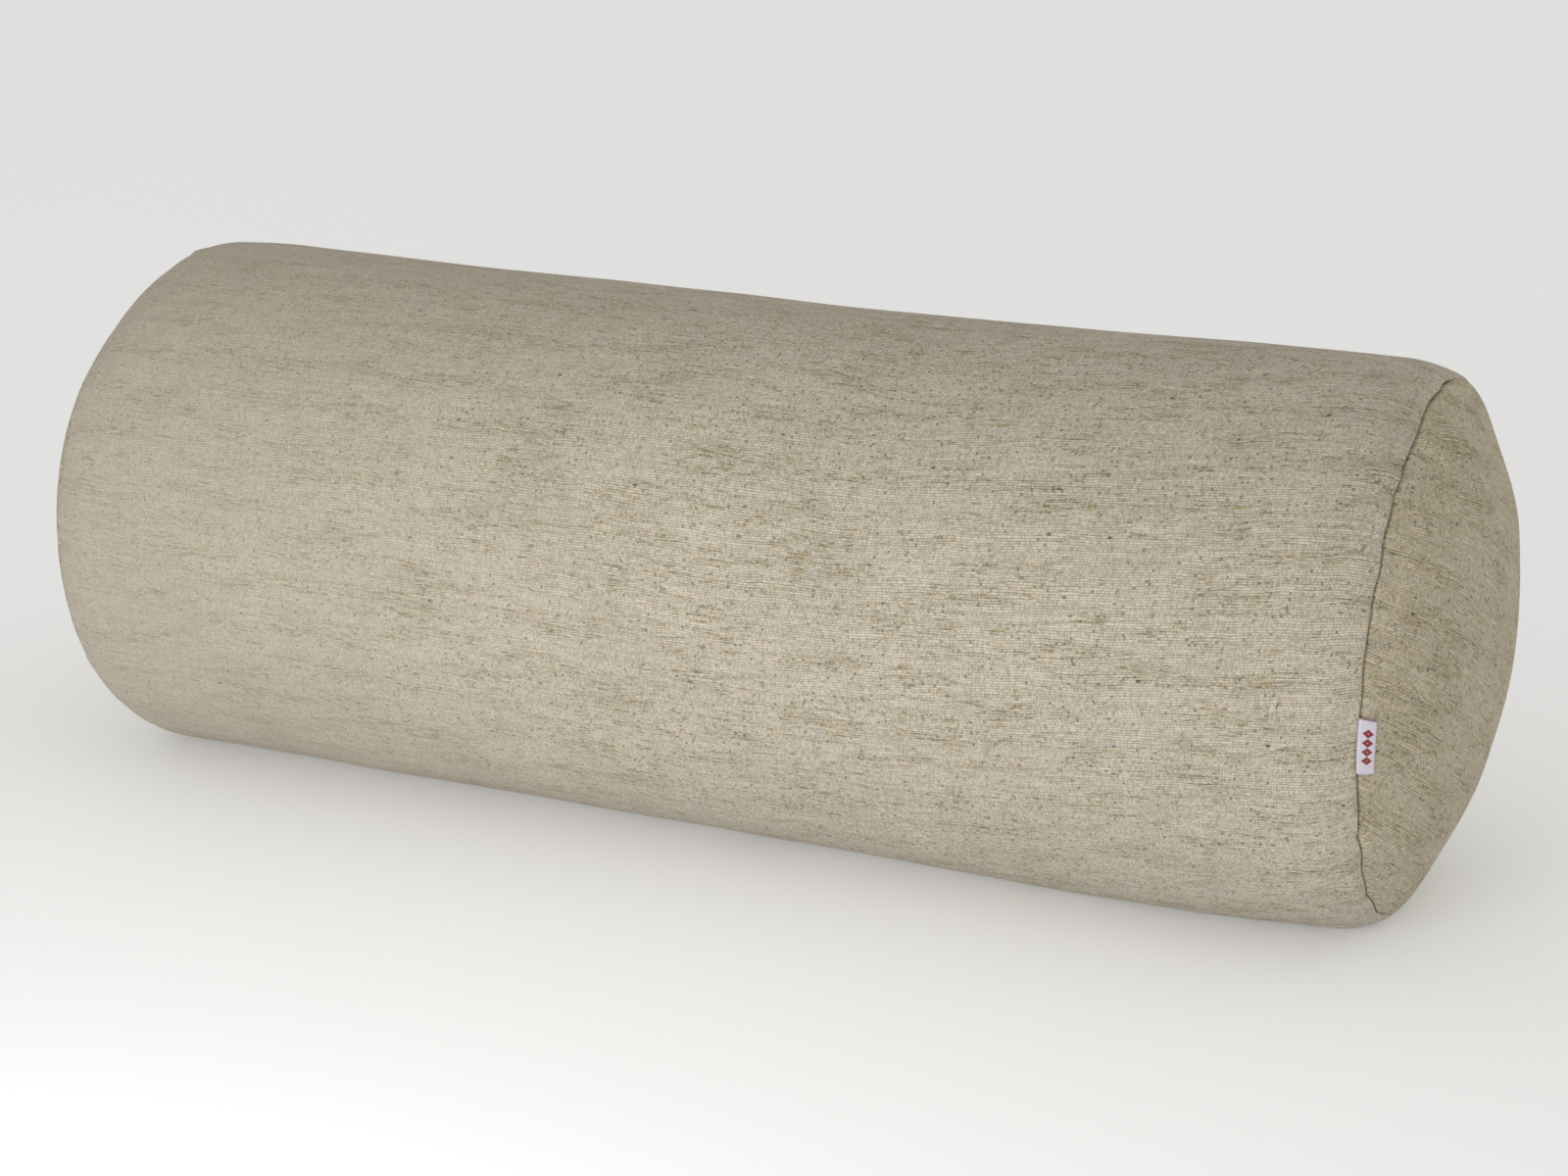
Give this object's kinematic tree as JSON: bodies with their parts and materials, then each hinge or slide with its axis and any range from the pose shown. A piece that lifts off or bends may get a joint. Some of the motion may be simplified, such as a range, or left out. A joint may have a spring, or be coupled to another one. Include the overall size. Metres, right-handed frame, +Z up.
{
  "type": "bolster pillow",
  "caption": "Round bolster pillow: a zipped woven cover with domed round ends over a fibre-filled inner pillow.",
  "frame": {"origin": "centre of the flat patch that the pillow rests on", "axes": "+X along the pillow towards the end with the seam label, +Y towards the side with the zip, +Z up"},
  "size_m": [0.4126, 0.15, 0.1457],
  "materials": {
    "cover_cloth": "slubby plain weave",
    "sewing_thread": "spun thread",
    "overlock_thread": "spun thread",
    "zip_tape": "herringbone tape",
    "zip_teeth": "satin nylon",
    "zip_metal": "satin nickel",
    "label_ribbon": "woven satin ribbon",
    "inner_casing": "non-woven",
    "inner_thread": "spun thread",
    "fibre_fill": "carded fibre"
  },
  "bodies": {
    "pillow": {"cover_tube_panel": "cover_cloth", "cover_end_panel_right": "cover_cloth", "cover_end_panel_left": "cover_cloth", "end_seam_thread_right": "sewing_thread", "end_seam_thread_left": "sewing_thread", "end_seam_overlock_right": "overlock_thread", "end_seam_overlock_left": "overlock_thread", "long_seam_thread": "sewing_thread", "zip_tape_upper": "zip_tape", "zip_tape_lower": "zip_tape", "zip_teeth_upper": "zip_teeth", "zip_teeth_lower": "zip_teeth", "zip_top_stops": "zip_metal", "zip_bottom_stop": "zip_metal", "zip_topstitch_upper": "sewing_thread", "zip_topstitch_lower": "sewing_thread", "zip_end_bartacks": "sewing_thread", "seam_label": "label_ribbon", "care_label": "label_ribbon", "inner_tube_panel": "inner_casing", "inner_end_panel_right": "inner_casing", "inner_end_panel_left": "inner_casing", "inner_seam_thread_right": "inner_thread", "inner_seam_thread_left": "inner_thread", "inner_closing_thread": "inner_thread", "fibre_filling": "fibre_fill"},
    "zip_slider": {"zip_slider_body": "zip_metal"},
    "zip_pull": {"zip_pull_tab": "zip_metal"}
  },
  "joints": [
    {"name": "zip_slide", "type": "slide", "parent": "pillow", "child": "zip_slider", "axis": [-1, 0, 0], "range_m": [0, 0.293], "deforming": ["zip_teeth_upper", "zip_teeth_lower"]},
    {"name": "zip_pull_hinge", "type": "hinge", "parent": "zip_slider", "child": "zip_pull", "pos_m": [0.149, 0.07228, 0.09701], "axis": [0, 0.342, -0.9397], "range_deg": [0, 175]}
  ]
}
